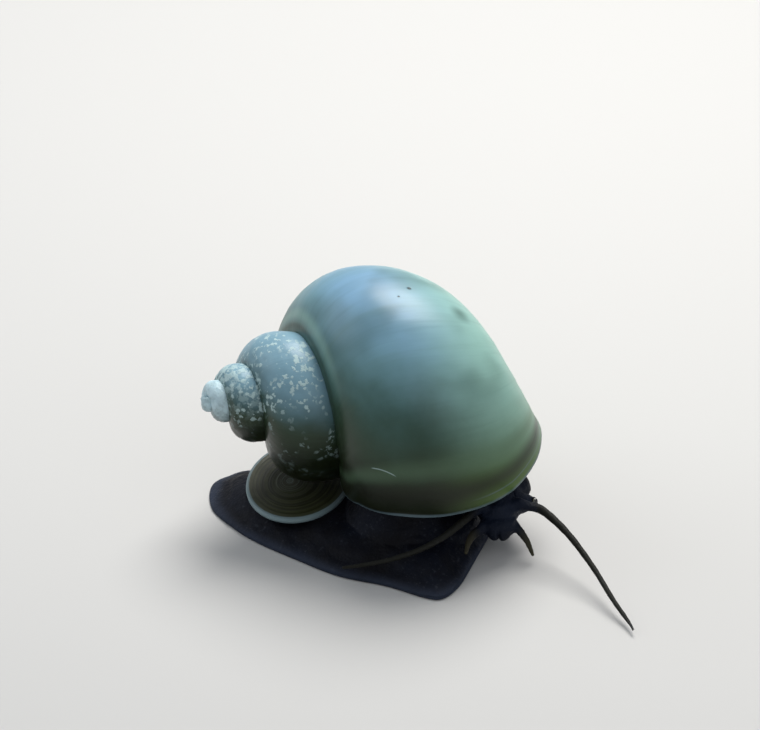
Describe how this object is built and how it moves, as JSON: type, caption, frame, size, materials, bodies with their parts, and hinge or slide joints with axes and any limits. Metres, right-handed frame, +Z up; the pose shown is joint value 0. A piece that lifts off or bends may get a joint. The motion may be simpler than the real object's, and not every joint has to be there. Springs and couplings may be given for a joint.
{
  "type": "apple snail model",
  "caption": "Life-size still apple snail crawling on a flat floor, with a coiled shell, foot, horny lid on the tail, and head turned to its right.",
  "frame": {"origin": "on the floor, under the middle of the whole animal", "axes": "+X the way the foot points, +Y the animal's left, +Z up"},
  "size_m": [0.0672, 0.0339, 0.0344],
  "materials": {
    "shell": "satin blue-green shell, olive towards the base, with pale worn specks on the older whorls",
    "operculum": "satin olive-brown horn with fine growth rings and a pale blue-grey rim",
    "skin": "moist blue-black skin, finely wrinkled",
    "eye": "glossy dark eye with a pale ring"
  },
  "bodies": {
    "root": {"shell": "shell", "operculum": "operculum", "eye_left": "eye", "eye_right": "eye", "mantle": "skin", "foot": "skin", "tail": "skin", "stalk": "skin", "neck": "skin", "head": "skin", "snout": "skin", "tentacle_left_1": "skin", "tentacle_left_2": "skin", "tentacle_left_3": "skin", "tentacle_right_1": "skin", "tentacle_right_2": "skin", "tentacle_right_3": "skin", "palp_left": "skin", "palp_right": "skin", "siphon": "skin", "eyestalk_left": "skin", "eyestalk_right": "skin"}
  },
  "joints": []
}
